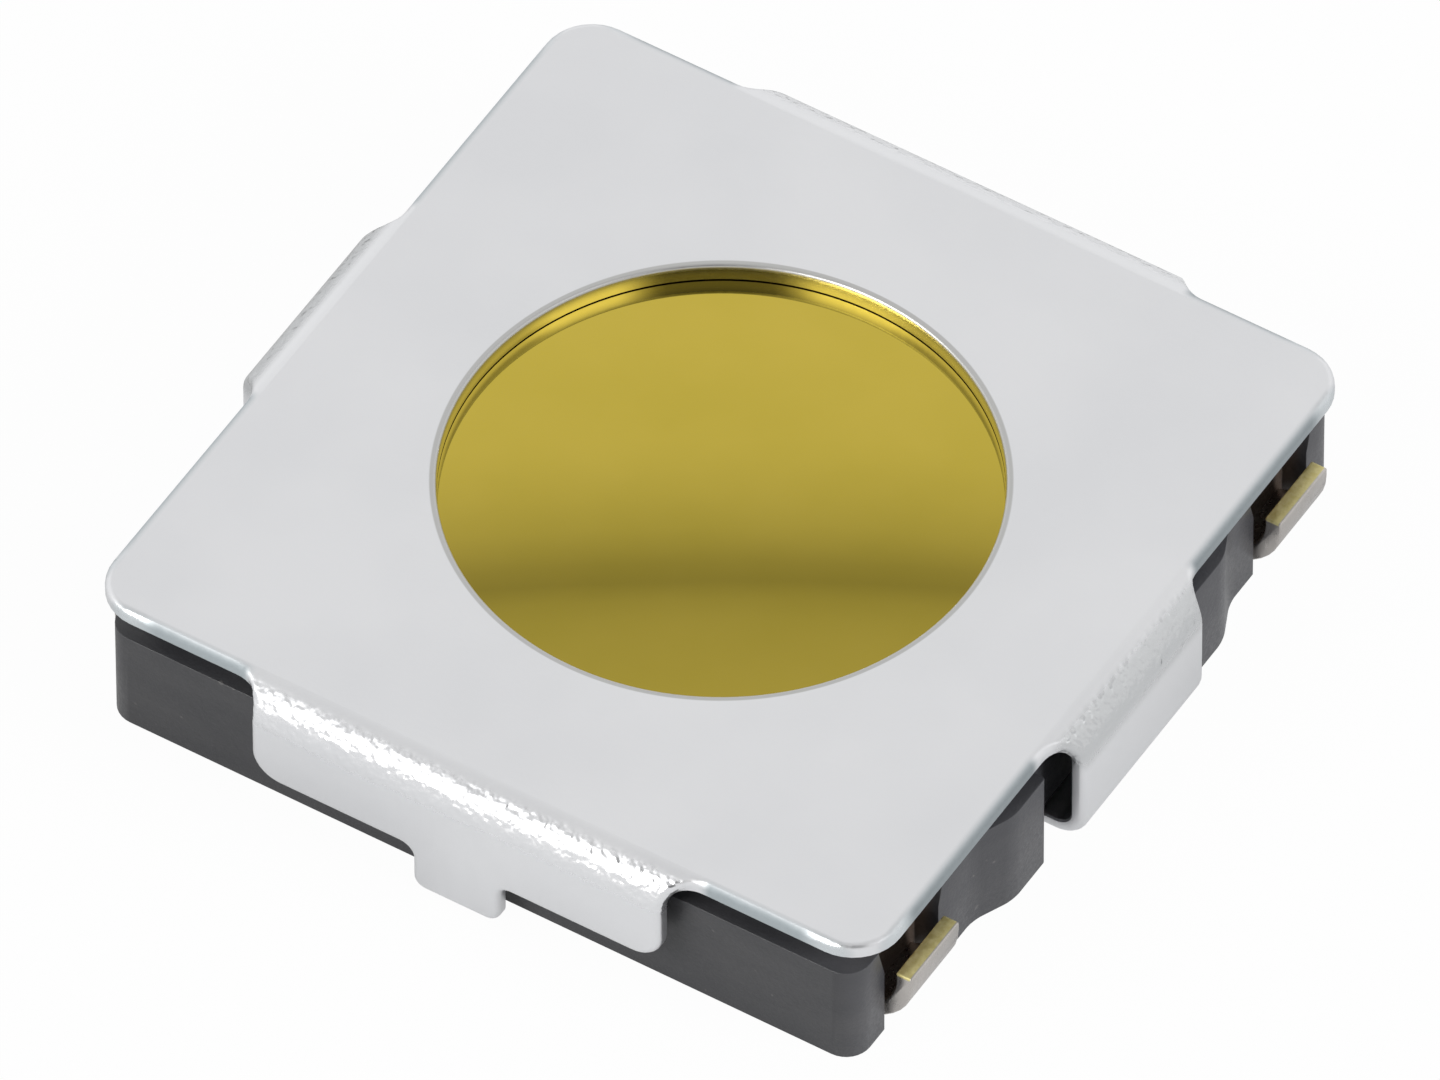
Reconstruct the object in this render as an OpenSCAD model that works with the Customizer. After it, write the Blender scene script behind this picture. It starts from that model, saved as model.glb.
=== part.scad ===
// Low tactile push switch for surface mounting: a folded sheet cover with a round window,
// a seal film, a snap dome, a moulded housing and two lead frames with upturned terminals.
// Millimetres, +Z up. The origin is the centre of the housing's underside, on the board.
// +X and -X are the terminal sides, +Y and -Y are the sides with the wide cover flanges.

/* [Housing] */
// Length of the housing from terminal side to terminal side
housing_x = 4.70; // [4.60:0.02:4.80]
// Length of the housing between the wide cover flanges
housing_y = 4.88; // [4.80:0.02:5.00]
// Radius of the housing's upright corners
housing_r = 0.15; // [0.10:0.01:0.25]
// Height of the cavity floor that carries the dome
floor_h = 0.39; // [0.36:0.01:0.42]
// Depth of the step round the housing's top edge
rim_step_d = 0.11; // [0.06:0.01:0.14]
// Height of the step round the housing's top edge
rim_step_h = 0.15; // [0.08:0.01:0.18]
// How far the guard posts beside each side clip stand out
post_d = 0.11; // [0.06:0.01:0.13]
// Length of the flat face of a guard post
post_flat = 0.32; // [0.20:0.01:0.40]
// Length of the sloping shoulder of a guard post
post_slope = 0.24; // [0.10:0.01:0.30]

/* [Dome and film] */
// Outer diameter of the snap dome
dome_d = 3.30; // [3.10:0.05:3.40]
// Free height of the snap dome over its rim
dome_h = 0.38; // [0.34:0.01:0.44]
// Thickness of the dome's sheet
dome_t = 0.06; // [0.04:0.01:0.07]
// Width of the dome across its two flats
dome_flats = 3.00; // [2.80:0.05:3.10]
// How far the dome's crown travels when pressed
travel = 0.23; // [0.18:0.01:0.25]
// Running clearance between the dome's rim and the cavity wall
dome_gap = 0.07; // [0.04:0.01:0.10]
// Air between the dome's crown and the film
dome_air = 0.01; // [0.01:0.01:0.03]
// Side of the square seal film
film_w = 4.20; // [4.10:0.05:4.30]
// Corner radius of the seal film
film_r = 0.30; // [0.20:0.05:0.50]
// Thickness of the seal film
film_t = 0.05; // [0.03:0.01:0.06]
// Rise of the film's crown over its border
film_rise = 0.03; // [0.02:0.01:0.04]
// Clearance round the film in its seat
film_gap = 0.04; // [0.02:0.01:0.06]

/* [Cover] */
// Side of the cover's flat plate
cover_w = 4.92; // [4.88:0.02:4.96]
// Thickness of the cover's sheet
cover_t = 0.09; // [0.07:0.01:0.12]
// Corner radius of the plate
cover_r = 0.29; // [0.20:0.01:0.40]
// Rounding of the plate's upper edge
edge_roll = 0.04; // [0.02:0.01:0.06]
// Diameter of the round window
window_d = 3.04; // [2.80:0.02:3.14]
// Rounding of the window's upper edge
window_roll = 0.04; // [0.02:0.01:0.05]
// Inner radius of every fold from the plate
bend_r = 0.12; // [0.06:0.01:0.14]
// Radius of the flare where a fold meets the plate's edge
flare_r = 0.18; // [0.12:0.01:0.20]
// Clearance between the housing and a wide flange
flange_gap = 0.09; // [0.03:0.01:0.10]
// Offset of the +Y flange towards +X, and of the -Y flange towards -X
flange_shift = 0.04; // [0.00:0.01:0.06]
// Width of the wide flanges
flange_w = 2.56; // [2.30:0.02:2.70]
// Height of a wide flange's lower edge over the board
flange_z = 0.31; // [0.26:0.01:0.40]
// Radius of a wide flange's lower corners
flange_r = 0.18; // [0.10:0.01:0.20]
// Width of the tab in the middle of a wide flange
tab_w = 0.54; // [0.40:0.02:0.70]
// Height of the tab's end over the board
tab_z = 0.01; // [0.01:0.01:0.10]
// Radius of the tab's corners and of the fillets where it meets the flange
tab_r = 0.08; // [0.04:0.01:0.10]
// Width of the side clips
clip_w = 1.22; // [1.00:0.02:1.30]
// Offset of the +X clip towards +Y, and of the -X clip towards -Y
clip_shift = 0.05; // [0.00:0.01:0.10]
// Clearance between the housing and a side clip
clip_gap = 0.18; // [0.14:0.01:0.20]
// Height of the underside of a clip's folded toe over the board
toe_z = 0.10; // [0.05:0.01:0.18]
// Inner radius of the toe's fold
toe_bend_r = 0.10; // [0.04:0.01:0.12]
// Length of the toe from the clip's outer face
toe_len = 0.35; // [0.30:0.01:0.38]
// Clearance over and behind the toe in its notch
toe_gap = 0.03; // [0.02:0.01:0.05]
// Clearance between a clip's edge and the guard post beside it
post_gap = 0.14; // [0.10:0.01:0.20]

/* [Lead frames] */
// Thickness of the lead frame's sheet
lead_t = 0.10; // [0.08:0.01:0.12]
// Width of each terminal
lead_w = 0.48; // [0.40:0.02:0.60]
// Distance between the two terminals of one side
lead_pitch = 3.75; // [3.60:0.05:3.80]
// Inner radius of the terminal's upturn
lead_r = 0.30; // [0.20:0.01:0.32]
// How far a terminal stands out from the housing
lead_out = 0.15; // [0.12:0.01:0.20]
// Height of the terminal's upturned end over the board
lead_top = 0.46; // [0.42:0.01:0.52]
// Height of the lead frame's underside inside the floor
lead_bed = 0.14; // [0.12:0.01:0.16]
// Distance from the centre to each terminal's step down
lead_step = 1.75; // [1.60:0.05:1.85]
// Width of the arms inside the floor
arm_w = 0.46; // [0.36:0.02:0.60]
// Radius of the centre contact's top
contact_r = 0.40; // [0.30:0.02:0.50]
// Radial width of the outer contact under the dome's rim
land_w = 0.36; // [0.26:0.02:0.40]
// Angle that the outer contact spans
land_angle = 70; // [50:5:90]

/* [Terminal niches] */
// Depth of the niche behind each terminal
niche_d = 0.15; // [0.10:0.01:0.16]
// Clearance between a terminal and its niche at the bottom
niche_gap = 0.03; // [0.02:0.01:0.05]
// How much further the niche opens on each side at the top
niche_flare = 0.10; // [0.04:0.01:0.12]

/* [Hidden] */

$fn = 64;
ball_fn = 200;                                     // finer circles for the two shallow balls
eps = 0.02;                                        // overrun of a cutting shape

dome_r = dome_d / 2;
cavity_r = dome_r + dome_gap;
dome_top = floor_h + dome_h;
housing_h = dome_top + dome_air + film_t;          // the cover lies on this rim
cover_top = housing_h + cover_t;
film_bed = housing_h - film_rise - film_t;         // seat of the film's border
dome_ball = (dome_r * dome_r + dome_h * dome_h) / (2 * dome_h);
film_crown_r = cavity_r - dome_gap;
film_ball = (film_crown_r * film_crown_r + film_rise * film_rise) / (2 * film_rise);

flange_in = housing_y / 2 + flange_gap;            // inner face of a wide flange
clip_in = housing_x / 2 + clip_gap;                // inner face of a side clip
root_in = cover_w / 2 - cover_r - flare_r;         // where a fold starts inside the plate

lead_end = housing_x / 2 + lead_out;               // outer face of a terminal
lead_bend = lead_end - lead_t - lead_r;            // centre line of the upturn
contact_z = dome_top - dome_t - travel;            // top of the centre contact
boss_slope = contact_z - lead_bed - lead_t;        // run of the raised contact's flank
land_r = dome_r - land_w / 2;                      // middle of the outer contact

// A square plate outline with round corners, centred
module round_box(x, y, r) {
    square([x - 2 * r, y], center = true);
    square([x, y - 2 * r], center = true);
    for (i = [-1, 1], j = [-1, 1])
        translate([i * (x / 2 - r), j * (y / 2 - r)]) circle(r);
}

// A quarter of a ring in the first quadrant
module quarter_ring(r, t) {
    intersection() {
        difference() {
            circle(r + t);
            circle(r);
        }
        square(r + t);
    }
}

// Draws a section across +Y as a bar of the given length along X
module along_x(length) {
    rotate([90, 0, 90]) linear_extrude(length, center = true) children();
}

// Draws a section across +X as a bar of the given length along Y
module along_y(length) {
    rotate([90, 0, 0]) linear_extrude(length, center = true) children();
}

// Section of sheet that leaves the plate and folds down, its inner face at the given distance
module fold_section(inner, low) {
    translate([root_in, housing_h]) square([inner - bend_r - root_in, cover_t]);
    translate([inner - bend_r, housing_h - bend_r]) quarter_ring(bend_r, cover_t);
    translate([inner, low]) square([cover_t, housing_h - bend_r - low]);
}

// Section of the clip's toe: the sheet folds inwards under the housing's ledge
module toe_section() {
    outer = clip_in + cover_t;
    bend = toe_bend_r + cover_t;
    translate([outer - bend, toe_z + bend]) mirror([0, 1]) quarter_ring(toe_bend_r, cover_t);
    translate([outer - toe_len, toe_z]) square([toe_len - bend, cover_t]);
}

// Front view of a strip between two heights, its lower corners round
module round_end(w, low, high, r) {
    translate([-w / 2, low + r]) square([w, high - low - r]);
    translate([r - w / 2, low]) square([w - 2 * r, high - low]);
    for (s = [-1, 1])
        translate([s * (w / 2 - r), low + r]) circle(r);
}

// Front view of the concave fillets on both sides of a strip, below the given height
module side_fillets(w, high, r) {
    for (s = [-1, 1])
        difference() {
            translate([s * (w + r) / 2, high - r / 2]) square(r, center = true);
            translate([s * (w / 2 + r), high - r]) circle(r);
        }
}

// Section of the plate's rounded edge, from the corner's centre line outwards
module edge_section() {
    square([cover_r, cover_t - edge_roll]);
    square([cover_r - edge_roll, cover_t]);
    translate([cover_r - edge_roll, cover_t - edge_roll])
        intersection() {
            circle(edge_roll);
            square(edge_roll);
        }
}

// The flat plate with its upper edge rounded on all sides
module rolled_plate() {
    inner = cover_w - 2 * cover_r;
    translate([0, 0, cover_t / 2]) cube([inner, inner, cover_t], center = true);
    for (a = [0:90:270])
        rotate([0, 0, a]) {
            translate([inner / 2, 0, 0]) along_y(inner) edge_section();
            translate([inner / 2, inner / 2, 0]) rotate_extrude(angle = 90) edge_section();
        }
}

module wide_flange() {
    intersection() {
        along_x(flange_w + 2 * flare_r) fold_section(flange_in, tab_z);
        translate([0, flange_in, 0])
            along_y(2 * flange_in) {
                round_end(flange_w, flange_z, cover_top, flange_r);
                side_fillets(flange_w, cover_top, flare_r);
                round_end(tab_w, tab_z, flange_z + tab_r, tab_r);
                side_fillets(tab_w, flange_z, tab_r);
            }
    }
}

module side_clip() {
    intersection() {
        along_y(clip_w + 2 * flare_r) {
            fold_section(clip_in, toe_z + toe_bend_r + cover_t);
            toe_section();
        }
        translate([clip_in, 0, 0])
            along_x(2 * clip_in) {
                translate([-clip_w / 2, toe_z]) square([clip_w, cover_top - toe_z]);
                side_fillets(clip_w, cover_top, flare_r);
            }
    }
}

module cover() {
    color([0.86, 0.86, 0.87])
    difference() {
        union() {
            translate([0, 0, housing_h]) rolled_plate();
            for (a = [0, 180])
                rotate([0, 0, a]) {
                    translate([flange_shift, 0, 0]) wide_flange();
                    translate([0, clip_shift, 0]) side_clip();
                }
        }
        translate([0, 0, housing_h]) rotate_extrude() window_section();
    }
}

// Section of the window from its middle outwards, its upper edge rounded
module window_section() {
    window_r = window_d / 2;
    translate([0, -eps]) square([window_r, cover_t + 2 * eps]);
    difference() {
        translate([window_r - eps, cover_t - window_roll]) square([window_roll + eps, window_roll + eps]);
        translate([window_r + window_roll, cover_t - window_roll]) circle(window_roll);
    }
}

// Section of the dome from its middle to its rim
module dome_section() {
    crown_z = dome_top - dome_ball;
    intersection() {
        difference() {
            translate([0, crown_z]) circle(dome_ball, $fn = ball_fn);
            translate([0, crown_z - dome_t]) circle(dome_ball, $fn = ball_fn);
        }
        translate([0, floor_h]) square([dome_r, dome_h]);
    }
}

// Section of the film from its middle outwards: a shallow crown and a flat border beyond its corners
module film_section() {
    crown_z = housing_h - film_ball;
    difference() {
        union() {
            translate([0, film_bed]) square([film_w, film_t]);
            intersection() {
                translate([0, crown_z]) circle(film_ball, $fn = ball_fn);
                translate([0, film_bed]) square([film_crown_r, film_rise + film_t]);
            }
        }
        translate([0, crown_z - film_t]) circle(film_ball, $fn = ball_fn);
    }
}

module seal_film() {
    color([0.72, 0.66, 0.25])
    intersection() {
        rotate_extrude() film_section();
        translate([0, 0, film_bed]) linear_extrude(film_rise + film_t) round_box(film_w, film_w, film_r);
    }
}

// The dome is round with two flats, as it is cut from its strip
module snap_dome() {
    color([0.78, 0.78, 0.76])
    intersection() {
        rotate_extrude() dome_section();
        translate([0, 0, floor_h + dome_h / 2]) cube([dome_d, dome_flats, dome_h], center = true);
    }
}

// Section of one lead from the middle outwards: bed, step down, foot on the board, upturned end
module lead_section() {
    translate([0, lead_bed]) square([lead_step, lead_t]);
    translate([lead_step - lead_t, 0]) square([lead_t, lead_bed + lead_t]);
    translate([lead_step - lead_t, 0]) square([lead_bend - lead_step + lead_t, lead_t]);
    translate([lead_bend, lead_t + lead_r]) mirror([0, 1]) quarter_ring(lead_r, lead_t);
    translate([lead_end - lead_t, lead_t + lead_r]) square([lead_t, lead_top - lead_t - lead_r]);
}

// The strip that joins two terminals of one circuit, along X at the origin
module lead_strip() {
    for (m = [0, 1]) mirror([m, 0, 0]) along_y(lead_w) lead_section();
}

module outer_contact_frame() {
    color([0.80, 0.72, 0.42]) {
        translate([0, -lead_pitch / 2, 0]) lead_strip();
        translate([0, -land_r, 0]) land_arm();
        contact_land();
    }
}

// Arm from the strip to the outer contact, inside the floor
module land_arm() {
    reach = lead_pitch / 2 - land_r;
    translate([-arm_w / 2, -reach, lead_bed]) cube([arm_w, reach, lead_t]);
}

// Curved land, flush with the floor, that the dome's rim rests on
module contact_land() {
    intersection() {
        difference() {
            translate([0, 0, lead_bed]) cylinder(r = land_r + land_w / 2, h = floor_h - lead_bed);
            translate([0, 0, lead_bed - eps]) cylinder(r = land_r - land_w / 2, h = floor_h);
        }
        rotate([0, 0, -90 - land_angle / 2])
            rotate_extrude(angle = land_angle) square([dome_d, floor_h]);
    }
}

module centre_contact_frame() {
    color([0.80, 0.72, 0.42]) {
        translate([0, lead_pitch / 2, 0]) lead_strip();
        translate([-arm_w / 2, 0, lead_bed]) cube([arm_w, lead_pitch / 2, lead_t]);
        raised_contact();
    }
}

// Round contact pressed up out of the sheet in the middle
module raised_contact() {
    foot_r = contact_r + boss_slope;
    translate([0, 0, lead_bed]) cylinder(r = foot_r, h = lead_t);
    translate([0, 0, lead_bed + lead_t]) cylinder(r1 = foot_r, r2 = contact_r, h = boss_slope);
}

// Plan view of one guard post, standing on the housing's side face beside a clip
module post_plan() {
    polygon([
        [-post_d, 0],
        [post_d, 0],
        [post_d, post_flat],
        [0, post_flat + post_slope],
        [-post_d, post_flat + post_slope]
    ]);
}

module housing_body() {
    shoulder = housing_h - rim_step_h;
    linear_extrude(shoulder) {
        round_box(housing_x, housing_y, housing_r);
        for (a = [0, 180], m = [0, 1])
            rotate([0, 0, a]) translate([housing_x / 2, clip_shift]) mirror([0, m])
                translate([0, clip_w / 2 + post_gap]) post_plan();
    }
    translate([0, 0, shoulder]) linear_extrude(rim_step_h)
        round_box(housing_x - 2 * rim_step_d, housing_y - 2 * rim_step_d, housing_r);
}

// Front view of the niche behind a terminal, wider at the top
module niche_front() {
    low = lead_w / 2 + niche_gap;
    high = low + niche_flare;
    polygon([[-low, 0], [low, 0], [low, lead_top], [high, housing_h], [-high, housing_h], [-low, lead_top]]);
}

// Notch under the housing's ledge that a clip's toe folds into
module toe_notch() {
    tip = clip_in + cover_t - toe_len - toe_gap;
    translate([tip, clip_shift - clip_w / 2 - post_gap, -eps])
        cube([housing_x, clip_w + 2 * post_gap, toe_z + cover_t + toe_gap + eps]);
}

module housing() {
    color([0.27, 0.27, 0.28])
    difference() {
        housing_body();
        translate([0, 0, floor_h]) cylinder(r = cavity_r, h = housing_h);
        translate([0, 0, film_bed]) linear_extrude(housing_h)
            round_box(film_w + 2 * film_gap, film_w + 2 * film_gap, film_r + film_gap);
        for (a = [0, 180]) rotate([0, 0, a]) {
            toe_notch();
            for (s = [-1, 1])
                translate([housing_x / 2, s * lead_pitch / 2, -eps])
                    along_x(2 * niche_d) niche_front();
        }
        outer_contact_frame();
        centre_contact_frame();
    }
}

cover();
seal_film();
snap_dome();
housing();
outer_contact_frame();
centre_contact_frame();
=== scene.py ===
import math
import bpy
import bmesh
from mathutils import Matrix, Vector


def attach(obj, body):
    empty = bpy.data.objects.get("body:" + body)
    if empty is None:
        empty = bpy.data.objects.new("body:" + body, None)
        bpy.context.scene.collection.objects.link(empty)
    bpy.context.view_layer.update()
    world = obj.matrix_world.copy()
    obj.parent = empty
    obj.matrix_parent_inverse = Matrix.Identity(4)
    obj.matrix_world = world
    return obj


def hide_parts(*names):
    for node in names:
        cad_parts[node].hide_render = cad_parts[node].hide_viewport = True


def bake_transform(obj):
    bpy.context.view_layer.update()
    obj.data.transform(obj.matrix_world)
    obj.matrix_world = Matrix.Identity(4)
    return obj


# Looks for a small surface-mount push switch. Meshes are worked out in millimetres
# and brought to metres by finishPiece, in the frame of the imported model.
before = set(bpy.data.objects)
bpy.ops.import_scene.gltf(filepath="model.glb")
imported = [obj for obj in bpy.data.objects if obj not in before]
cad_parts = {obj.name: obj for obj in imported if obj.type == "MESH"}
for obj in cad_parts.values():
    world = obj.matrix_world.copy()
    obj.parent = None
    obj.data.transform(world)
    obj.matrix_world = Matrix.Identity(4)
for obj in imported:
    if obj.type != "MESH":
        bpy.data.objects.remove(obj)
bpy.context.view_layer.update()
millimetre = 0.001
sharpAngle = math.radians(35)
mergeDistance = 1e-5


# mesh helpers
def roundCorners(bm, cornerVerts, segments):
    # cornerVerts is a list of (vertex, radius); corners of one radius are bevelled together
    for radius in sorted(set(r for v, r in cornerVerts if r > 0)):
        chosen = [v for v, r in cornerVerts if r == radius]
        bmesh.ops.bevel(bm, geom=chosen, offset=radius, segments=segments, profile=0.5, affect="VERTICES",
                        clamp_overlap=True, material=-1)


def raiseFaces(bm, faces, height):
    grown = bmesh.ops.extrude_face_region(bm, geom=faces)
    raised = [g for g in grown["geom"] if isinstance(g, bmesh.types.BMVert)]
    bmesh.ops.translate(bm, vec=(0, 0, height), verts=raised)
    bmesh.ops.recalc_face_normals(bm, faces=bm.faces)


def prism(corners, low, high, segments=6):
    # upright block over a plan of (x, y, corner radius)
    bm = bmesh.new()
    verts = [bm.verts.new((x, y, low)) for x, y, r in corners]
    bm.faces.new(verts)
    roundCorners(bm, [(v, c[2]) for v, c in zip(verts, corners)], segments)
    raiseFaces(bm, bm.faces[:], high - low)
    return bm


def layAlongX(bm):
    # turns a block so that its plan's x and y become y and z, and its height runs along x
    turn = Matrix(((0, 0, 1), (1, 0, 0), (0, 1, 0))).to_4x4()
    bmesh.ops.transform(bm, matrix=turn, verts=bm.verts)
    return bm


def asObject(bm, name):
    bmesh.ops.recalc_face_normals(bm, faces=bm.faces)
    mesh = bpy.data.meshes.new(name)
    bm.to_mesh(mesh)
    bm.free()
    obj = bpy.data.objects.new(name, mesh)
    bpy.context.scene.collection.objects.link(obj)
    return obj


def combine(base, tool, operation):
    # works one block into another and drops the tool
    modifier = base.modifiers.new("combine", "BOOLEAN")
    modifier.object = tool
    modifier.operation = operation
    modifier.solver = "EXACT"
    shaped = base.evaluated_get(bpy.context.evaluated_depsgraph_get())
    mesh = bpy.data.meshes.new_from_object(shaped)
    base.modifiers.clear()
    base.data = mesh
    bpy.data.objects.remove(tool)


def finishPiece(obj, materials, replaces, body=None, bevel=0.0, bevelSegments=2):
    bm = bmesh.new()
    bm.from_mesh(obj.data)
    bmesh.ops.remove_doubles(bm, verts=bm.verts, dist=mergeDistance)
    bmesh.ops.recalc_face_normals(bm, faces=bm.faces)
    bmesh.ops.scale(bm, vec=(millimetre, millimetre, millimetre), verts=bm.verts)
    for face in bm.faces:
        face.smooth = True
    for edge in bm.edges:
        edge.smooth = bevel > 0 or edge.calc_face_angle(0.0) < sharpAngle
    bm.to_mesh(obj.data)
    bm.free()
    obj.data.materials.clear()
    for material in materials:
        obj.data.materials.append(material)
    if bevel:
        edges = obj.modifiers.new("worn edges", "BEVEL")
        edges.width = bevel * millimetre
        edges.segments = bevelSegments
        edges.limit_method = "ANGLE"
        edges.angle_limit = sharpAngle
    if body:
        normals = obj.modifiers.new("even normals", "WEIGHTED_NORMAL")
        normals.keep_sharp = True
        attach(obj, body)
    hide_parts(replaces)
    return obj


# material helpers
def newMaterial(name, colour, metallic, roughness):
    material = bpy.data.materials.new(name)
    material.use_nodes = True
    shader = material.node_tree.nodes["Principled BSDF"]
    shader.inputs["Base Color"].default_value = (*colour, 1)
    shader.inputs["Metallic"].default_value = metallic
    shader.inputs["Roughness"].default_value = roughness
    return material, shader


def addNode(material, kind, **inputs):
    node = material.node_tree.nodes.new(kind)
    for name, value in inputs.items():
        if hasattr(node, name):
            setattr(node, name, value)
        else:
            node.inputs[name.replace("_", " ")].default_value = value
    return node


def link(material, source, target):
    material.node_tree.links.new(source, target)


def pattern(material, scale, detail=4.0, roughness=0.55, stretch=(1, 1, 1), kind="ShaderNodeTexNoise"):
    # noise on the piece's own coordinates; scale is in features per metre
    place = addNode(material, "ShaderNodeTexCoord")
    mapping = addNode(material, "ShaderNodeMapping")
    mapping.inputs["Scale"].default_value = stretch
    texture = addNode(material, kind)
    texture.inputs["Scale"].default_value = scale
    texture.inputs["Detail"].default_value = detail
    texture.inputs["Roughness"].default_value = roughness
    link(material, place.outputs["Object"], mapping.inputs["Vector"])
    link(material, mapping.outputs["Vector"], texture.inputs["Vector"])
    return texture.outputs["Fac"]


def position(material):
    place = addNode(material, "ShaderNodeTexCoord")
    split = addNode(material, "ShaderNodeSeparateXYZ")
    link(material, place.outputs["Object"], split.inputs["Vector"])
    return split.outputs["X"], split.outputs["Y"], split.outputs["Z"]


def remap(material, value, fromLow, fromHigh, toLow, toHigh, smooth=False):
    node = addNode(material, "ShaderNodeMapRange")
    node.interpolation_type = "SMOOTHSTEP" if smooth else "LINEAR"
    for name, number in (("From Min", fromLow), ("From Max", fromHigh), ("To Min", toLow), ("To Max", toHigh)):
        node.inputs[name].default_value = number
    link(material, value, node.inputs["Value"])
    return node.outputs["Result"]


def spread(material, noise, low, high, swing=0.2):
    # noise lies round a half; what is a swing away from it on either side reaches low and high
    return remap(material, noise, 0.5 - swing, 0.5 + swing, low, high)


def fade(material, value, zone, low=0.0, high=1.0):
    # eases from low to high across a zone given in millimetres
    return remap(material, value, zone[0] * millimetre, zone[1] * millimetre, low, high, True)


def compute(material, operation, a, b=0.0):
    node = addNode(material, "ShaderNodeMath")
    node.operation = operation
    for socket, value in zip(node.inputs, (a, b)):
        if isinstance(value, (int, float)):
            socket.default_value = value
        else:
            link(material, value, socket)
    return node.outputs[0]


def mixColours(material, factor, a, b):
    node = addNode(material, "ShaderNodeMix")
    node.data_type = "RGBA"
    for name, value in (("A", a), ("B", b)):
        socket = [s for s in node.inputs if s.name == name and s.type == "RGBA"][0]
        if isinstance(value, tuple):
            socket.default_value = (*value, 1)
        else:
            link(material, value, socket)
    if isinstance(factor, (int, float)):
        node.inputs["Factor"].default_value = factor
    else:
        link(material, factor, node.inputs["Factor"])
    return [s for s in node.outputs if s.type == "RGBA"][0]


def addBump(material, shader, height, distance, strength=1.0):
    bump = addNode(material, "ShaderNodeBump")
    bump.inputs["Distance"].default_value = distance
    bump.inputs["Strength"].default_value = strength
    link(material, height, bump.inputs["Height"])
    link(material, bump.outputs["Normal"], shader.inputs["Normal"])


# camera: the photograph's viewing angle, from forty lengths away because the view is nearly parallel
cameraLook = {"azimuth": 32.04, "elevation": 49.0, "roll": -0.218, "distance": 0.2, "sensor": 36,
              "pixelsPerMetre": 186990.0, "imageWidth": 1440, "shiftRight": -0.0000091, "shiftUp": 0.000281,
              "clip": (0.005, 5)}


def addCamera():
    s = cameraLook
    azimuth, elevation, roll = [math.radians(s[name]) for name in ("azimuth", "elevation", "roll")]
    level = Vector((math.sin(azimuth), -math.cos(azimuth), 0))
    back = level * math.cos(elevation) + Vector((0, 0, math.sin(elevation)))
    right = Vector((math.cos(azimuth), math.sin(azimuth), 0))
    up = back.cross(right)
    right, up = right * math.cos(roll) + up * math.sin(roll), up * math.cos(roll) - right * math.sin(roll)
    target = right * s["shiftRight"] + up * s["shiftUp"]
    data = bpy.data.cameras.new("studioCamera")
    data.sensor_width = s["sensor"]
    data.lens = s["pixelsPerMetre"] * s["distance"] / s["imageWidth"] * s["sensor"]
    data.clip_start, data.clip_end = s["clip"]
    camera = bpy.data.objects.new("studioCamera", data)
    place = Matrix((right, up, back)).transposed().to_4x4()
    place.translation = target + back * s["distance"]
    camera.matrix_world = place
    bpy.context.scene.collection.objects.link(camera)
    bpy.context.scene.camera = camera


addCamera()
print("camera placed")

# stage and light
stageLook = {"floorColour": (0.42, 0.425, 0.43), "floorHalf": 0.6, "floorGap": 0.000002, "floorRoughness": 0.8,
             "floorGloss": 0.2, "whiteness": 0.97, "whitenessInMetal": 0.38, "front": (0.53, -0.848), "frontEdge": 0.25,
             "backLight": ((0.0, 0.90), (0.45, 0.92), (0.62, 0.98), (0.72, 0.96), (0.744, 0.91), (0.7547, 0.79),
                           (0.7627, 0.66), (0.7668, 0.55), (0.7708, 0.445), (0.7728, 0.40), (0.7745, 0.46),
                           (0.7768, 0.52), (0.7788, 0.555), (0.7827, 0.60), (0.7923, 0.64), (0.81, 0.72),
                           (0.85, 0.86), (0.90, 0.74), (1.0, 0.62)),
             "frontLight": ((0.0, 0.82), (0.5, 0.80), (0.64, 0.85), (0.71, 1.5), (0.80, 1.5), (0.87, 0.75),
                            (1.0, 0.62)),
             "shade": (0.348, -0.556, 0.755), "shadeLight": 0.12, "shadeEdge": (0.88, 0.97)}
boxLook = {"frontBox": {"direction": (-0.348, -0.755, 0.53), "distance": 0.5, "size": (0.30, 0.10), "power": 1.6,
                        "colour": (1.0, 0.985, 0.96), "mirrored": True},
           "sideBox": {"direction": (0.92, 0.10, 0.38), "distance": 0.5, "size": (0.20, 0.20), "power": 3.8,
                       "colour": (1.0, 1.0, 1.0), "mirrored": False}}


def addFloor():
    bm = bmesh.new()
    s = stageLook
    bmesh.ops.create_grid(bm, x_segments=2, y_segments=2, size=s["floorHalf"],
                          matrix=Matrix.Translation((0, 0, -s["floorGap"])))
    floor = asObject(bm, "floor")
    material, shader = newMaterial("paleFloor", s["floorColour"], 0.0, s["floorRoughness"])
    shader.inputs["Specular IOR Level"].default_value = s["floorGloss"]
    glow = addNode(material, "ShaderNodeEmission")
    rays = addNode(material, "ShaderNodeLightPath")
    direct = compute(material, "MULTIPLY", rays.outputs["Is Camera Ray"], s["whiteness"])
    mix = addNode(material, "ShaderNodeMixShader")
    mirrored = compute(material, "MULTIPLY", rays.outputs["Is Glossy Ray"], s["whitenessInMetal"])
    link(material, compute(material, "MAXIMUM", direct, mirrored), mix.inputs[0])
    link(material, shader.outputs[0], mix.inputs[1])
    link(material, glow.outputs[0], mix.inputs[2])
    link(material, mix.outputs[0], material.node_tree.nodes["Material Output"].inputs["Surface"])
    floor.data.materials.append(material)


def ramp(material, value, stops):
    node = addNode(material, "ShaderNodeValToRGB")
    elements = node.color_ramp.elements
    elements[0].position, elements[1].position = 0.0, 1.0
    for place, light in stops:
        element = elements[0] if place == 0.0 else elements[-1] if place == 1.0 else elements.new(place)
        element.color = (light, light, light, 1)
    link(material, value, node.inputs["Fac"])
    return node.outputs["Color"]


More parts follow.
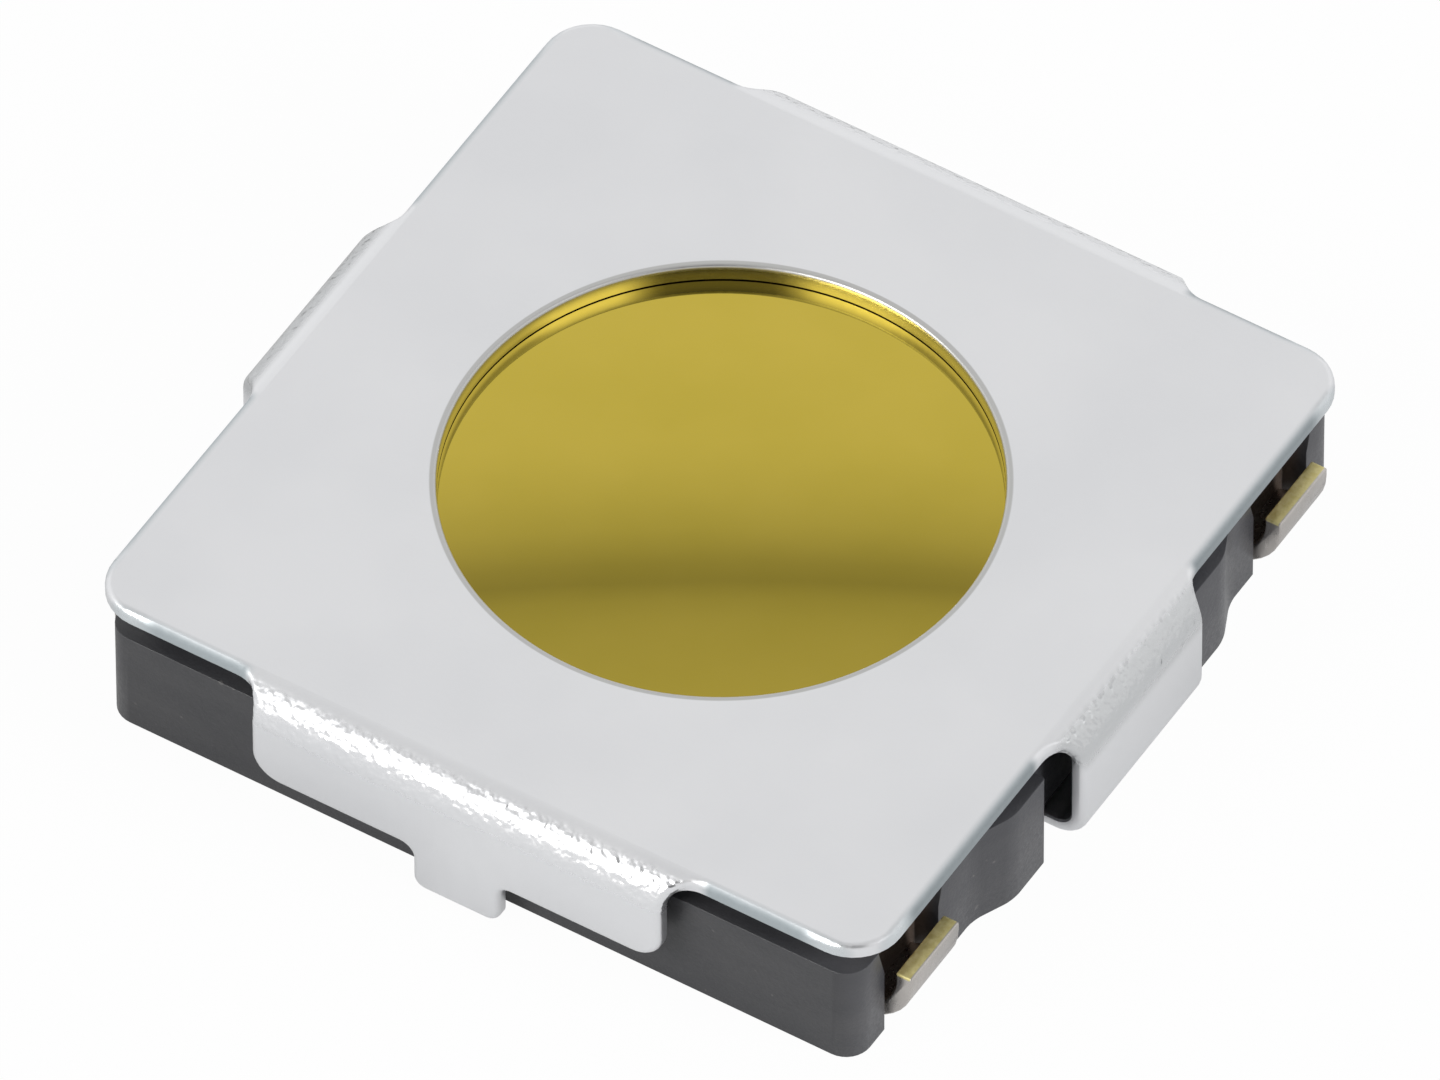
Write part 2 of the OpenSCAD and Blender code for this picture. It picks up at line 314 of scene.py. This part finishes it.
def addWorld():
    # a pale room: a dark seam high on the back wall, a brighter front with one shaded spot, a dimmer ceiling
    s = stageLook
    world = bpy.data.worlds.new("paleRoom")
    world.use_nodes = True
    bpy.context.scene.world = world
    place = addNode(world, "ShaderNodeTexCoord")
    split = addNode(world, "ShaderNodeSeparateXYZ")
    link(world, place.outputs["Generated"], split.inputs["Vector"])
    x, y, z = split.outputs["X"], split.outputs["Y"], split.outputs["Z"]
    frontward = compute(world, "ADD", compute(world, "MULTIPLY", x, s["front"][0]),
                        compute(world, "MULTIPLY", y, s["front"][1]))
    share = remap(world, frontward, 0.0, s["frontEdge"], 0.0, 1.0, True)
    room = mixColours(world, share, ramp(world, z, s["backLight"]), ramp(world, z, s["frontLight"]))
    parts = [compute(world, "MULTIPLY", axis, number) for axis, number in zip((x, y, z), s["shade"])]
    nearness = compute(world, "ADD", compute(world, "ADD", parts[0], parts[1]), parts[2])
    shade = remap(world, nearness, s["shadeEdge"][0], s["shadeEdge"][1], 1.0, s["shadeLight"], True)
    background = world.node_tree.nodes["Background"]
    link(world, room, background.inputs["Color"])
    link(world, shade, background.inputs["Strength"])


def addSoftbox(name):
    s = boxLook[name]
    data = bpy.data.lights.new(name, "AREA")
    data.shape = "RECTANGLE"
    data.size, data.size_y = s["size"]
    data.energy = s["power"]
    data.color = s["colour"]
    lamp = bpy.data.objects.new(name, data)
    direction = Vector(s["direction"]).normalized()
    turn = direction.to_track_quat("Z", "Y").to_matrix().to_4x4()
    lamp.matrix_world = Matrix.Translation(direction * s["distance"]) @ turn
    lamp.visible_glossy = s["mirrored"]
    bpy.context.scene.collection.objects.link(lamp)


addFloor()
addWorld()
for name in boxLook:
    addSoftbox(name)
bpy.context.scene.view_settings.view_transform = "Standard"
print("stage and light ready")

# folded cover
coverSize = {"topHeight": 0.92, "sheet": 0.09, "plateHalf": 2.46, "cornerRadius": 0.29, "windowRadius": 1.52,
             "bendRadius": 0.12, "faceOut": 2.62, "flareRadius": 0.18, "flangeHalf": 1.28, "flangeShift": 0.04,
             "flangeBottom": 0.31, "flangeCorner": 0.18, "tabHalf": 0.27, "tabBottom": 0.01, "tabRadius": 0.08,
             "clipHalf": 0.61, "clipShift": 0.05, "toeBottom": 0.10, "toeBend": 0.10, "toeLength": 0.35,
             "toeCorner": 0.02, "edgeRoll": 0.04, "windowRoll": 0.02, "underRoll": 0.010, "windowBurr": 0.018,
             "windowSteps": 72, "cornerSteps": 9, "rollSteps": 4, "bendSteps": 10}


def alongSheet(run, steps):
    # where the sheet's middle is after a run over straight and bent lengths, and how far it has turned
    out, drop, angle = 0.0, 0.0, 0.0
    for length, radius in steps:
        part = min(run, length)
        if radius:
            turned = angle + part / radius
            out += radius * (math.sin(turned) - math.sin(angle))
            drop += radius * (math.cos(angle) - math.cos(turned))
            angle = turned
        else:
            out += part * math.cos(angle)
            drop += part * math.sin(angle)
        run -= part
        if run <= 0:
            break
    return out, drop, angle


def makeCover(materials):
    s = coverSize
    middle = s["sheet"] / 2
    bend = (math.pi / 2 * (s["bendRadius"] + middle), s["bendRadius"] + middle)
    toeBend = (math.pi / 2 * (s["toeBend"] + middle), s["toeBend"] + middle)
    bendStart = s["faceOut"] - s["bendRadius"] - s["sheet"]
    straightTop = s["topHeight"] - s["bendRadius"] - s["sheet"]
    clipStraight = straightTop - s["toeBottom"] - s["toeBend"] - s["sheet"]
    flangeEnd = bendStart + bend[0] + straightTop - s["flangeBottom"]
    tabEnd = bendStart + bend[0] + straightTop - s["tabBottom"]
    toeFlat = s["toeLength"] - s["toeBend"] - s["sheet"]
    clipEnd = bendStart + bend[0] + clipStraight + toeBend[0] + toeFlat
    low, high = s["clipShift"] - s["clipHalf"], s["clipShift"] + s["clipHalf"]
    bm = bmesh.new()

    # half of the flat blank: half of the window, then the outer edge with its strips
    start = bm.verts.new((0, -s["windowRadius"], s["topHeight"]))
    arc = bmesh.ops.spin(bm, geom=[start], cent=(0, 0, s["topHeight"]), axis=(0, 0, 1), angle=math.pi,
                         steps=s["windowSteps"])
    end = [v for v in arc["geom_last"] if isinstance(v, bmesh.types.BMVert)][0]
    end.co.x = 0

    def endStrip(shift):
        tab, flange = s["tabHalf"] + shift, s["flangeHalf"] + shift
        return [(0, tabEnd, 0), (tab, tabEnd, s["tabRadius"]), (tab, flangeEnd, s["tabRadius"]),
                (flange, flangeEnd, s["flangeCorner"]), (flange, s["plateHalf"], s["flareRadius"]),
                (s["plateHalf"], s["plateHalf"], s["cornerRadius"])]

    side = [(s["plateHalf"], high, s["flareRadius"]), (clipEnd, high, s["toeCorner"]),
            (clipEnd, low, s["toeCorner"]), (s["plateHalf"], low, s["flareRadius"])]
    corners = endStrip(s["flangeShift"]) + side
    corners += [(x, -y, r) for x, y, r in reversed(endStrip(-s["flangeShift"]))]
    verts = [bm.verts.new((x, y, s["topHeight"])) for x, y, r in corners]
    for a, b in zip([end] + verts, verts + [start]):
        bm.edges.new((a, b))
    bmesh.ops.contextual_create(bm, geom=bm.edges[:])
    roundCorners(bm, [(v, c[2]) for v, c in zip(verts, corners)], s["cornerSteps"])
    bmesh.ops.spin(bm, geom=bm.faces[:], cent=(0, 0, 0), axis=(0, 0, 1), angle=math.pi, steps=1,
                   use_duplicate=True)
    bmesh.ops.remove_doubles(bm, verts=bm.verts, dist=1e-4)
    raiseFaces(bm, bm.faces[:], -s["sheet"])

    # the punched edges: rolled over on top, nearly sharp below
    def rim(z, inWindow):
        return [e for e in bm.edges if all(abs(v.co.z - z) < 1e-4 for v in e.verts)
                and any(abs(f.normal.z) < 0.5 for f in e.link_faces)
                and (e.verts[0].co.xy.length < s["windowRadius"] + 0.01) == inWindow]

    under = s["topHeight"] - s["sheet"]
    for z, inWindow, offset, segments in ((s["topHeight"], False, s["edgeRoll"], s["rollSteps"]),
                                          (s["topHeight"], True, s["windowRoll"], s["rollSteps"]),
                                          (under, False, s["underRoll"], 1)):
        bmesh.ops.bevel(bm, geom=rim(z, inWindow), offset=offset, segments=segments, profile=0.5,
                        affect="EDGES", clamp_overlap=False, material=-1)

    # the punch leaves a small burr round the window, on the side that it breaks through
    for v in bm.verts:
        if v.co.xy.length < s["windowRadius"] + 0.005 and v.co.z < under + 0.001:
            v.co.z -= s["windowBurr"]

    # lines across the strips where the sheet bends
    def cut(axis, place):
        normal = Vector((1, 0, 0)) if axis == 0 else Vector((0, 1, 0))
        for sign in (-1, 1):
            bmesh.ops.bisect_plane(bm, geom=bm.verts[:] + bm.edges[:] + bm.faces[:], dist=mergeDistance,
                                   plane_co=normal * place * sign, plane_no=normal)

    steps = s["bendSteps"]
    toeStart = bendStart + bend[0] + clipStraight
    for k in range(steps + 1):
        cut(1, bendStart + bend[0] * k / steps)
        cut(0, bendStart + bend[0] * k / steps)
        cut(0, toeStart + toeBend[0] * k / steps)

    # fold the strips down, easing off over the flares beside them
    def fold(axis, centre, half, path):
        other = 1 - axis
        for v in bm.verts:
            side = 1 if v.co[axis] > 0 else -1
            aside = abs(v.co[other] - side * centre)
            run = side * v.co[axis] - bendStart
            if run <= 0 or aside > half + s["flareRadius"] + 1e-4:
                continue
            share = min(max((half + s["flareRadius"] - aside) / s["flareRadius"], 0), 1)
            share = share * share * (3 - 2 * share)
            out, drop, angle = alongSheet(run, path)
            lift = middle - (s["topHeight"] - v.co.z)
            place = bendStart + out + math.sin(angle) * lift
            height = s["topHeight"] - middle - drop + math.cos(angle) * lift
            v.co[axis] += (side * place - v.co[axis]) * share
            v.co.z += (height - v.co.z) * share

    fold(1, s["flangeShift"], s["flangeHalf"], [bend, (9, 0)])
    fold(0, s["clipShift"], s["clipHalf"], [bend, (clipStraight, 0), toeBend, (9, 0)])
    cover = asObject(bm, "cover_sheet")
    return finishPiece(cover, materials, "cover", "switch_body")


# zones are in millimetres: reaches from the middle line, or heights
# the edge, corner, clip fold, wall and rim colours below are painted light: painted shade on the punched edges, clip
# folds and window rim, a painted glint at the corners, a painted amber reflection on the window's wall
steelLook = {"tints": ((0.80, 0.807, 0.825), (0.83, 0.835, 0.85)), "paintedEdgeShade": (0.46, 0.50, 0.52),
             "paintedCornerGlint": (0.68, 0.72, 0.74), "paintedClipFoldShade": (0.62, 0.63, 0.64), "paintedWallReflection": (0.95, 0.92, 0.84),
             "paintedRimShade": (0.55, 0.55, 0.54), "roughness": (0.31, 0.37), "grainRoughness": (-0.03, 0.03),
             "foldSmoother": 0.12, "edgeRougher": 0.50, "cornerSmoother": 0.56, "wallSmoother": 0.20,
             "edgeZone": (2.40, 2.46), "foldZone": (2.46, 2.52), "foldHeight": (0.64, 0.78),
             "cornerZone": (2.00, 2.16), "windowZone": (1.552, 1.562), "wallHeight": (0.83, 0.91),
             "rimHeight": (0.88, 0.90), "flangeReach": 1.42, "clipReach": 0.80, "reachFade": (-0.04, 0.04),
             "grainScale": 26000, "dentScale": 20000, "cloudScale": 900, "grainDepth": (0.03, 0.003),
             "cornerDents": 0.6, "bumpHeight": 0.000012}


def coverSteel():
    # a satin plate, lightly dented sparkling folds, smooth flanges and rougher punched edges; painted shade darkens the
    # punched edges and the clips' folds, a painted glint lightens the edge corners, and the window's wall has a painted
    # amber reflection of the film under a painted shade on its rim
    s = steelLook
    material, shader = newMaterial("coverSteel", s["tints"][0], 1.0, s["roughness"][0])

    def times(a, b):
        return compute(material, "MULTIPLY", a, b)

    def add(a, b):
        return compute(material, "ADD", a, b)

    def less(a, b):
        return compute(material, "SUBTRACT", a, b)

    # where things are: the shares by which a spot lies on a fold, a punched edge, a corner or the window's wall
    x, y, z = position(material)
    x, y = compute(material, "ABSOLUTE", x), compute(material, "ABSOLUTE", y)
    far, aside = compute(material, "MAXIMUM", x, y), compute(material, "MINIMUM", x, y)
    onClip = compute(material, "GREATER_THAN", x, y)
    narrower = (s["flangeReach"] - s["clipReach"]) * millimetre
    reach = less(s["flangeReach"] * millimetre, times(onClip, narrower))
    inStrip = fade(material, less(reach, aside), s["reachFade"])
    bent = fade(material, far, s["foldZone"])
    beyond = fade(material, far, s["edgeZone"])
    onFold = times(times(bent, inStrip), fade(material, z, s["foldHeight"]))
    onEdge = times(beyond, less(1.0, inStrip))
    onCorner = times(beyond, fade(material, aside, s["cornerZone"]))
    radius = compute(material, "SQRT", add(compute(material, "POWER", x, 2.0), compute(material, "POWER", y, 2.0)))
    inWindow = fade(material, radius, s["windowZone"], 1.0, 0.0)
    onWall = times(inWindow, fade(material, z, s["rimHeight"], 1.0, 0.0))

    grain = pattern(material, s["grainScale"], 6, 0.6)
    dents = remap(material, pattern(material, s["dentScale"], 1, 0.5), 0.0, 1.0, -0.5, 0.5)
    cloud = pattern(material, s["cloudScale"], 3, 0.5)
    rough = add(spread(material, grain, *s["grainRoughness"]), spread(material, cloud, *s["roughness"]))
    rough = less(rough, times(onFold, s["foldSmoother"]))
    rough = add(rough, times(onEdge, s["edgeRougher"]))
    rough = less(rough, times(onCorner, s["cornerSmoother"]))
    link(material, less(rough, times(onWall, s["wallSmoother"])), shader.inputs["Roughness"])
    grained = times(grain, remap(material, inWindow, 0.0, 1.0, *s["grainDepth"]))
    dented = times(dents, add(onFold, times(onCorner, s["cornerDents"])))
    addBump(material, shader, add(grained, dented), s["bumpHeight"])
    tint = mixColours(material, spread(material, cloud, 0.0, 1.0, 0.15), *s["tints"])
    # painted shade darkens the punched edges; at the corners it is lighter, a painted glint
    tint = mixColours(material, onEdge, tint, mixColours(material, onCorner, s["paintedEdgeShade"], s["paintedCornerGlint"]))
    # painted shade on the clips' folds, where they would otherwise shine
    tint = mixColours(material, times(onFold, onClip), tint, s["paintedClipFoldShade"])
    # the window's wall: a painted amber reflection of the film low down, painted shade on the rolled rim at the top
    wall = mixColours(material, fade(material, z, s["wallHeight"]), s["paintedWallReflection"], s["paintedRimShade"])
    link(material, mixColours(material, inWindow, tint, wall), shader.inputs["Base Color"])
    return material


makeCover([coverSteel()])
print("cover folded")

# seal film and snap dome
filmSize = {"crownTop": 0.83, "rise": 0.03, "crownRadius": 1.65, "thickness": 0.05, "half": 2.10, "corner": 0.30,
            "rings": 28, "spokes": 128}
domeSize = {"top": 0.77, "height": 0.38, "radius": 1.65, "thickness": 0.06, "flatHalf": 1.50, "rings": 24,
            "spokes": 96}
filmLook = {"tints": ((0.515, 0.40, 0.042), (0.545, 0.42, 0.050)), "roughness": (0.01, 0.022), "coat": 0.35,
            "coatRoughness": 0.03, "cloudScale": 1400, "grainScale": 30000, "grainDepth": 0.02,
            "bumpHeight": 0.00000012}
domeLook = {"tint": (0.62, 0.62, 0.60), "roughness": (0.24, 0.38), "grainScale": 24000, "bumpHeight": 0.0000006}


def crownedDisc(top, rise, radius, rings, spokes):
    # a shallow ball cap, spun from half of its section
    bm = bmesh.new()
    ball = (radius * radius + rise * rise) / (2 * rise)
    reach = math.asin(radius / ball)
    crown = bm.verts.new((0, 0, top))
    bmesh.ops.spin(bm, geom=[crown], cent=(0, 0, top - ball), axis=(0, 1, 0), angle=reach, steps=rings)
    bmesh.ops.spin(bm, geom=bm.verts[:] + bm.edges[:], cent=(0, 0, 0), axis=(0, 0, 1), angle=math.tau,
                   steps=spokes, use_merge=True)
    bmesh.ops.remove_doubles(bm, verts=bm.verts, dist=mergeDistance)
    bmesh.ops.recalc_face_normals(bm, faces=bm.faces)
    return bm


def giveThickness(obj, thickness):
    wall = obj.modifiers.new("sheet thickness", "SOLIDIFY")
    wall.thickness = thickness * millimetre
    wall.offset = -1
    wall.use_even_offset = True


def topSideUp(obj):
    if sum(p.normal.z for p in obj.data.polygons) < 0:
        obj.data.flip_normals()


def makeFilm(materials):
    s = filmSize
    bm = crownedDisc(s["crownTop"], s["rise"], s["crownRadius"], s["rings"], s["spokes"])
    border = s["crownTop"] - s["rise"]
    circle = [e for e in bm.edges if len(e.link_faces) == 1]
    outline = bmesh.new()
    signs = ((1, 1), (-1, 1), (-1, -1), (1, -1))
    corners = [outline.verts.new((x * s["half"], y * s["half"], border)) for x, y in signs]
    outline.faces.new(corners)
    roundCorners(outline, [(v, s["corner"]) for v in corners], 8)
    bmesh.ops.delete(outline, geom=outline.faces[:], context="FACES_ONLY")
    mesh = bpy.data.meshes.new("filmOutline")
    outline.to_mesh(mesh)
    outline.free()
    bm.from_mesh(mesh)
    bpy.data.meshes.remove(mesh)
    frameEdges = [e for e in bm.edges if not e.link_faces]
    bmesh.ops.bridge_loops(bm, edges=circle + frameEdges)
    film = asObject(bm, "amber_seal_film")
    finishPiece(film, materials, "seal_film")
    topSideUp(film)
    giveThickness(film, s["thickness"])
    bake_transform(film)
    return film


def makeDome(materials):
    s = domeSize
    bm = crownedDisc(s["top"], s["height"], s["radius"], s["rings"], s["spokes"])
    for sign in (-1, 1):
        bmesh.ops.bisect_plane(bm, geom=bm.verts[:] + bm.edges[:] + bm.faces[:], dist=mergeDistance,
                               plane_co=(0, sign * s["flatHalf"], 0), plane_no=(0, sign, 0), clear_outer=True)
    dome = asObject(bm, "snap_dome_disc")
    finishPiece(dome, materials, "snap_dome")
    topSideUp(dome)
    giveThickness(dome, s["thickness"])
    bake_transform(dome)
    return dome


def amberFilm():
    s = filmLook
    material, shader = newMaterial("amberFilm", s["tints"][0], 1.0, s["roughness"][0])
    shader.inputs["Coat Weight"].default_value = s["coat"]
    shader.inputs["Coat Roughness"].default_value = s["coatRoughness"]
    cloud = pattern(material, s["cloudScale"], 3, 0.5)
    grain = pattern(material, s["grainScale"], 3, 0.5)
    tint = mixColours(material, spread(material, cloud, 0.0, 1.0), *s["tints"])
    link(material, tint, shader.inputs["Base Color"])
    link(material, spread(material, grain, *s["roughness"]), shader.inputs["Roughness"])
    height = compute(material, "ADD", cloud, compute(material, "MULTIPLY", grain, s["grainDepth"]))
    addBump(material, shader, height, s["bumpHeight"])
    return material


def domeSteel():
    s = domeLook
    material, shader = newMaterial("domeSteel", s["tint"], 1.0, s["roughness"][0])
    grain = pattern(material, s["grainScale"], 4, 0.6)
    link(material, spread(material, grain, *s["roughness"]), shader.inputs["Roughness"])
    addBump(material, shader, grain, s["bumpHeight"])
    return material


makeFilm([amberFilm()])
makeDome([domeSteel()])
print("film and dome made")

# housing
housingSize = {"halfX": 2.35, "halfY": 2.44, "corner": 0.15, "cornerSteps": 8, "shoulder": 0.68, "top": 0.83,
               "rimStep": 0.11, "postOut": 2.46, "postStart": 0.75, "postFlat": 0.32, "postSlope": 0.24,
               "postCorner": 0.06, "postFoot": 0.02, "clipShift": 0.05, "floor": 0.39, "cavityRadius": 1.72,
               "cavitySteps": 96, "seatHalf": 2.14, "seatCorner": 0.34, "seatHeight": 0.75, "nicheIn": 2.20,
               "nicheLow": 0.27, "nicheHigh": 0.37, "nicheTurn": 0.46, "terminal": 1.875, "notchIn": 2.24,
               "notchHigh": 0.22, "leadIn": 1.70, "leadOut": 2.26, "leadHalf": 0.245, "leadHigh": 0.105,
               "past": 0.1, "outside": 3.0, "above": 1.0, "edge": 0.014}
# the niche tint is a painted reflection of the brass terminals in the niches
plasticLook = {"tints": ((0.027, 0.0275, 0.031), (0.036, 0.036, 0.039)), "paintedNicheReflection": (0.085, 0.063, 0.050),
               "fleckTint": (0.22, 0.21, 0.20), "fleckFrom": (0.76, 0.80), "fleckShare": 0.22,
               "roughness": (0.30, 0.46), "grainScale": 42000, "flowScale": 1800, "fleckScale": 14000,
               "flowStretch": (1, 1, 2.5), "bumpHeight": 0.0000018, "nicheBack": (2.17, 2.19),
               "nicheFront": (2.22, 2.34), "nicheFoot": (0.01, 0.04), "nicheSides": (0.30, 0.42)}


def makeHousing(materials):
    s = housingSize
    plan = [(s["halfX"], -s["halfY"], s["corner"])]
    for sign in (-1, 1):
        post = [(s["halfX"], s["postFlat"] + s["postSlope"], s["postCorner"]),
                (s["postOut"], s["postFlat"], s["postCorner"]), (s["postOut"], 0, s["postFoot"]),
                (s["halfX"], 0, s["postFoot"])]
        placed = [(x, s["clipShift"] + sign * (s["postStart"] + along), r) for x, along, r in post]
        plan += placed if sign < 0 else placed[::-1]
    plan.append((s["halfX"], s["halfY"], s["corner"]))
    plan += [(-x, -y, r) for x, y, r in plan]
    housing = asObject(prism(plan, 0, s["shoulder"], s["cornerSteps"]), "moulded_housing")
    inX, inY = s["halfX"] - s["rimStep"], s["halfY"] - s["rimStep"]
    quarters = ((1, -1), (1, 1), (-1, 1), (-1, -1))
    rim = [(x * inX, y * inY, s["corner"]) for x, y in quarters]
    combine(housing, asObject(prism(rim, s["floor"], s["top"], s["cornerSteps"]), "rim"), "UNION")
    niche = [(s["nicheLow"], -s["past"], 0), (s["nicheLow"], s["nicheTurn"], 0), (s["nicheHigh"], s["top"], 0),
             (s["nicheHigh"], s["above"], 0)]
    niche += [(-across, up, r) for across, up, r in reversed(niche)]
    for side in (-1, 1):
        for end in (-1, 1):
            tool = layAlongX(prism(niche, s["nicheIn"], s["outside"]))
            bmesh.ops.translate(tool, vec=(0, end * s["terminal"], 0), verts=tool.verts)
            if side < 0:
                bmesh.ops.scale(tool, vec=(-1, 1, 1), verts=tool.verts)
            combine(housing, asObject(tool, "niche"), "DIFFERENCE")
            lead = [(side * s["leadIn"], -s["leadHalf"], 0), (side * s["leadOut"], -s["leadHalf"], 0),
                    (side * s["leadOut"], s["leadHalf"], 0), (side * s["leadIn"], s["leadHalf"], 0)]
            lead = [(x, y + end * s["terminal"], r) for x, y, r in lead]
            combine(housing, asObject(prism(lead, -s["past"], s["leadHigh"]), "lead channel"), "DIFFERENCE")
        low, high = side * s["clipShift"] - s["postStart"], side * s["clipShift"] + s["postStart"]
        inner, outer = side * s["notchIn"], side * s["outside"]
        notch = [(inner, low, 0), (outer, low, 0), (outer, high, 0), (inner, high, 0)]
        combine(housing, asObject(prism(notch, -s["past"], s["notchHigh"]), "notch"), "DIFFERENCE")
    seat = [(x * s["seatHalf"], y * s["seatHalf"], s["seatCorner"]) for x, y in quarters]
    combine(housing, asObject(prism(seat, s["seatHeight"], s["above"], s["cornerSteps"]), "seat"), "DIFFERENCE")
    cavity = bmesh.new()
    bmesh.ops.create_cone(cavity, cap_ends=True, segments=s["cavitySteps"], radius1=s["cavityRadius"],
                          radius2=s["cavityRadius"], depth=s["above"],
                          matrix=Matrix.Translation((0, 0, s["floor"] + s["above"] / 2)))
    combine(housing, asObject(cavity, "cavity"), "DIFFERENCE")
    return finishPiece(housing, materials, "housing", "switch_body", s["edge"])


def housingPlastic():
    # a fine matt moulding, with a painted brown reflection of the terminals inside the niches
    s = plasticLook
    material, shader = newMaterial("housingPlastic", s["tints"][0], 0.0, s["roughness"][0])
    grain = pattern(material, s["grainScale"], 5, 0.65)
    flow = pattern(material, s["flowScale"], 3, 0.5, s["flowStretch"])
    tint = mixColours(material, spread(material, flow, 0.0, 1.0), *s["tints"])
    fleck = remap(material, pattern(material, s["fleckScale"], 1, 0.4), *s["fleckFrom"], 0.0, s["fleckShare"])
    x, y, z = position(material)
    far = compute(material, "ABSOLUTE", x)
    across = compute(material, "SUBTRACT", compute(material, "ABSOLUTE", y), housingSize["terminal"] * millimetre)
    # where the terminals' painted reflection lies: inside the niches, above their floor, around each terminal
    paintedReflectionMask = compute(material, "MULTIPLY", fade(material, far, s["nicheFront"], 1.0, 0.0),
                      fade(material, far, s["nicheBack"]))
    paintedReflectionMask = compute(material, "MULTIPLY", paintedReflectionMask, fade(material, z, s["nicheFoot"]))
    paintedReflectionMask = compute(material, "MULTIPLY", paintedReflectionMask,
                      fade(material, compute(material, "ABSOLUTE", across), s["nicheSides"], 1.0, 0.0))
    tint = mixColours(material, paintedReflectionMask, tint, s["paintedNicheReflection"])
    link(material, mixColours(material, fleck, tint, s["fleckTint"]), shader.inputs["Base Color"])
    link(material, spread(material, grain, *s["roughness"]), shader.inputs["Roughness"])
    addBump(material, shader, grain, s["bumpHeight"])
    return material


makeHousing([housingPlastic()])
print("housing moulded")

# lead frames
leadSize = {"thickness": 0.10, "half": 0.24, "terminal": 1.875, "bed": 0.14, "step": 1.65, "stepRun": 0.10,
            "bendCentre": 2.10, "bendRadius": 0.30, "bendSteps": 10, "top": 0.46, "armHalf": 0.23, "landIn": 1.29,
            "landOut": 1.65, "landAngle": 70, "landSteps": 20, "floor": 0.39, "footRadius": 0.64,
            "contactRadius": 0.40, "contactTop": 0.48, "contactSteps": 48, "edge": 0.010}
brassLook = {"plating": ((0.50, 0.475, 0.45), (0.58, 0.55, 0.525)), "brass": ((0.78, 0.69, 0.30), (0.90, 0.83, 0.47)),
             "roughness": (0.22, 0.42), "cutRougher": 0.30, "grainScale": 30000, "grainStretch": (1, 1, 0.25),
             "cloudScale": 2200, "bumpHeight": 0.0000007, "cutHeight": (0.440, 0.448), "cutFrom": (2.30, 2.34),
             "cutTo": (2.482, 2.490)}


def layAcrossY(bm):
    # turns a block so that its plan's y becomes z, and its height runs along y
    turn = Matrix(((1, 0, 0), (0, 0, 1), (0, 1, 0))).to_4x4()
    bmesh.ops.transform(bm, matrix=turn, verts=bm.verts)
    return bm


def makeLeadFrame(name, node, side, materials):
    s = leadSize
    y = side * s["terminal"]
    top = s["bed"] + s["thickness"]
    out = s["bendCentre"] + s["bendRadius"] + s["thickness"]
    down = s["step"] + s["stepRun"]
    section = [(s["step"], s["bed"], 0), (down, 0, 0), (out, 0, s["bendRadius"] + s["thickness"]), (out, s["top"], 0),
               (out - s["thickness"], s["top"], 0), (out - s["thickness"], s["thickness"], s["bendRadius"]),
               (down, s["thickness"], 0), (s["step"], top, 0)]
    section += [(-x, z, r) for x, z, r in reversed(section)]
    lead = asObject(layAcrossY(prism(section, y - s["half"], y + s["half"], s["bendSteps"])), name)
    inner = (s["landIn"] + s["landOut"]) / 2 if side < 0 else 0.0
    low, high = sorted((side * inner, y))
    arm = [(-s["armHalf"], low, 0), (s["armHalf"], low, 0), (s["armHalf"], high, 0), (-s["armHalf"], high, 0)]
    combine(lead, asObject(prism(arm, s["bed"], top), "arm"), "UNION")
    contact = bmesh.new()
    if side < 0:
        half = math.radians(s["landAngle"] / 2)
        begin = Matrix.Rotation(-math.pi / 2 - half, 3, "Z")
        verts = [contact.verts.new(begin @ Vector((r, 0, s["bed"]))) for r in (s["landIn"], s["landOut"])]
        bmesh.ops.spin(contact, geom=verts + [contact.edges.new(verts)], cent=(0, 0, 0), axis=(0, 0, 1),
                       angle=2 * half, steps=s["landSteps"])
        raiseFaces(contact, contact.faces[:], s["floor"] - s["bed"])
    else:
        profile = [(0, s["bed"]), (s["footRadius"], s["bed"]), (s["footRadius"], top),
                   (s["contactRadius"], s["contactTop"]), (0, s["contactTop"])]
        verts = [contact.verts.new((r, 0, z)) for r, z in profile]
        edges = [contact.edges.new(pair) for pair in zip(verts, verts[1:])]
        bmesh.ops.spin(contact, geom=verts + edges, cent=(0, 0, 0), axis=(0, 0, 1), angle=math.tau,
                       steps=s["contactSteps"], use_merge=True)
        bmesh.ops.remove_doubles(contact, verts=contact.verts, dist=mergeDistance)
    combine(lead, asObject(contact, "contact"), "UNION")
    return finishPiece(lead, materials, node, "switch_body", s["edge"])


def platedBrass():
    # pale plating on the faces, yellow brass where the strip was cut off at the terminals' ends
    s = brassLook
    material, shader = newMaterial("platedBrass", s["plating"][1], 1.0, s["roughness"][0])
    x, y, z = position(material)
    grain = pattern(material, s["grainScale"], 4, 0.6, s["grainStretch"])
    cloud = pattern(material, s["cloudScale"], 3, 0.5)
    far = compute(material, "ABSOLUTE", x)
    cut = compute(material, "MULTIPLY", fade(material, far, s["cutFrom"]), fade(material, far, s["cutTo"], 1.0, 0.0))
    cut = compute(material, "MULTIPLY", cut, fade(material, z, s["cutHeight"]))
    plating = mixColours(material, spread(material, cloud, 0.0, 1.0, 0.15), *s["plating"])
    brass = mixColours(material, spread(material, grain, 0.0, 1.0, 0.15), *s["brass"])
    link(material, mixColours(material, cut, plating, brass), shader.inputs["Base Color"])
    rough = spread(material, grain, *s["roughness"])
    rough = compute(material, "ADD", rough, compute(material, "MULTIPLY", cut, s["cutRougher"]))
    link(material, rough, shader.inputs["Roughness"])
    addBump(material, shader, grain, s["bumpHeight"])
    return material


leadMaterials = [platedBrass()]
makeLeadFrame("outer_lead_frame", "outer_contact_frame", -1, leadMaterials)
makeLeadFrame("centre_lead_frame", "centre_contact_frame", 1, leadMaterials)
print("lead frames made")
